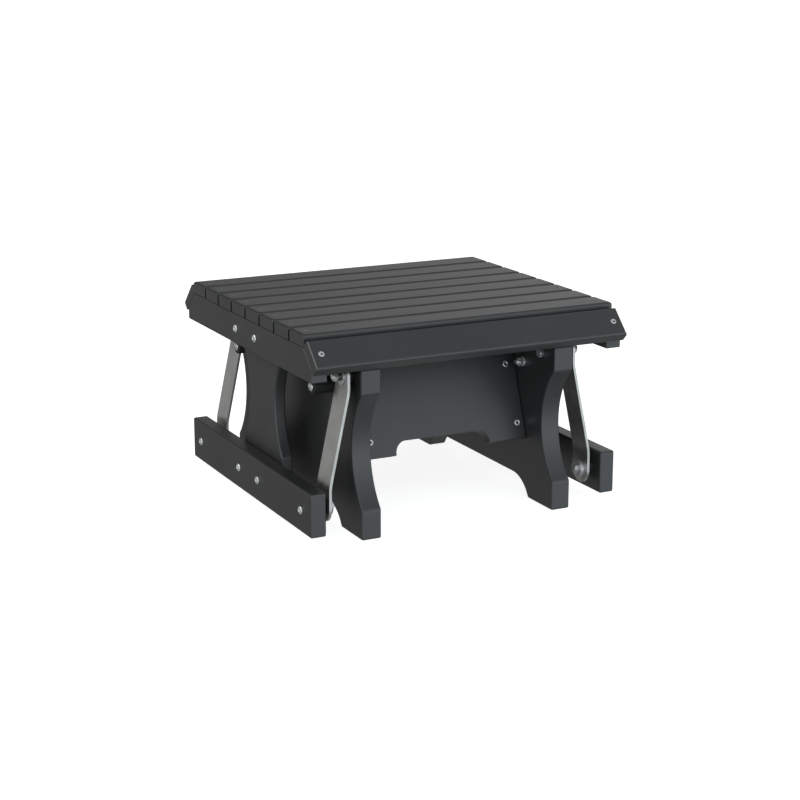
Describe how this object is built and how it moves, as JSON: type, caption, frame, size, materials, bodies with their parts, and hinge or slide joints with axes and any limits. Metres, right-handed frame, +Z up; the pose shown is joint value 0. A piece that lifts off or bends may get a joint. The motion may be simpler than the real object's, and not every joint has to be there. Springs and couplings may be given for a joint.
{
  "type": "gliding footrest",
  "caption": "Slatted gliding footrest: a low seat frame of dark boards hung on flat steel arms from a splayed board base, so it glides to the front and back.",
  "frame": {"origin": "on the floor, under the centre of the footrest", "axes": "+X along the slats, to the right seen from the front; +Y to the back, along the glide; +Z up"},
  "size_m": [0.5346, 0.542, 0.3203],
  "materials": {
    "poly_board": "satin black solid-colour plastic lumber with softly rounded edges",
    "steel_arm": "flat steel bar, satin",
    "zinc_fastener": "bright zinc plate",
    "rubber_stop": "matt black rubber",
    "nylon_bearing": "black nylon, slightly waxy"
  },
  "bodies": {
    "base": {"side_panel_left": "poly_board", "side_panel_right": "poly_board", "cross_board_front": "poly_board", "cross_board_rear": "poly_board", "cleat_front_left": "poly_board", "cleat_front_right": "poly_board", "cleat_rear_left": "poly_board", "cleat_rear_right": "poly_board", "stop_bumper_front_left": "rubber_stop", "stop_bolt_front_left": "zinc_fastener", "upper_pivot_bolt_front_left": "zinc_fastener", "stop_bumper_front_right": "rubber_stop", "stop_bolt_front_right": "zinc_fastener", "upper_pivot_bolt_front_right": "zinc_fastener", "stop_bumper_rear_left": "rubber_stop", "stop_bolt_rear_left": "zinc_fastener", "upper_pivot_bolt_rear_left": "zinc_fastener", "stop_bumper_rear_right": "rubber_stop", "stop_bolt_rear_right": "zinc_fastener", "upper_pivot_bolt_rear_right": "zinc_fastener"},
    "arm_front_left": {"swing_arm_front_left": "steel_arm", "upper_bearing_front_left": "nylon_bearing", "lower_bearing_front_left": "nylon_bearing"},
    "arm_front_right": {"swing_arm_front_right": "steel_arm", "upper_bearing_front_right": "nylon_bearing", "lower_bearing_front_right": "nylon_bearing"},
    "arm_rear_left": {"swing_arm_rear_left": "steel_arm", "upper_bearing_rear_left": "nylon_bearing", "lower_bearing_rear_left": "nylon_bearing"},
    "arm_rear_right": {"swing_arm_rear_right": "steel_arm", "upper_bearing_rear_right": "nylon_bearing", "lower_bearing_rear_right": "nylon_bearing"},
    "seat": {"slat_1": "poly_board", "slat_2": "poly_board", "slat_3": "poly_board", "slat_4": "poly_board", "slat_5": "poly_board", "slat_6": "poly_board", "slat_7": "poly_board", "slat_8": "poly_board", "edge_slat_front": "poly_board", "edge_slat_rear": "poly_board", "seat_rail_left": "poly_board", "upright_left": "poly_board", "lower_bar_left": "poly_board", "seat_rail_right": "poly_board", "upright_right": "poly_board", "lower_bar_right": "poly_board", "lower_pivot_bolt_front_left": "zinc_fastener", "rail_bolt_front_left": "zinc_fastener", "bar_bolt_front_left": "zinc_fastener", "lower_pivot_bolt_front_right": "zinc_fastener", "rail_bolt_front_right": "zinc_fastener", "bar_bolt_front_right": "zinc_fastener", "lower_pivot_bolt_rear_left": "zinc_fastener", "rail_bolt_rear_left": "zinc_fastener", "bar_bolt_rear_left": "zinc_fastener", "lower_pivot_bolt_rear_right": "zinc_fastener", "rail_bolt_rear_right": "zinc_fastener", "bar_bolt_rear_right": "zinc_fastener"}
  },
  "joints": [
    {"name": "glide", "type": "hinge", "parent": "base", "child": "arm_front_left", "pos_m": [-0.1935, -0.2078, 0.248], "axis": [1, 0, 0], "range_deg": [-23.5, 23.5]},
    {"name": "seat_hang", "type": "hinge", "parent": "arm_front_left", "child": "seat", "pos_m": [-0.2248, -0.2078, 0.05], "axis": [1, 0, 0], "range_deg": [-23.5, 23.5]},
    {"name": "swing_front_right", "type": "hinge", "parent": "base", "child": "arm_front_right", "pos_m": [0.1935, -0.2078, 0.248], "axis": [1, 0, 0], "range_deg": [-23.5, 23.5]},
    {"name": "swing_rear_left", "type": "hinge", "parent": "base", "child": "arm_rear_left", "pos_m": [-0.1935, 0.2078, 0.248], "axis": [1, 0, 0], "range_deg": [-23.5, 23.5]},
    {"name": "swing_rear_right", "type": "hinge", "parent": "base", "child": "arm_rear_right", "pos_m": [0.1935, 0.2078, 0.248], "axis": [1, 0, 0], "range_deg": [-23.5, 23.5]}
  ],
  "couplings": [
    {"joint": "seat_hang", "follows": "glide", "ratio": -1},
    {"joint": "swing_front_right", "follows": "glide", "ratio": 1},
    {"joint": "swing_rear_left", "follows": "glide", "ratio": 1},
    {"joint": "swing_rear_right", "follows": "glide", "ratio": 1}
  ]
}
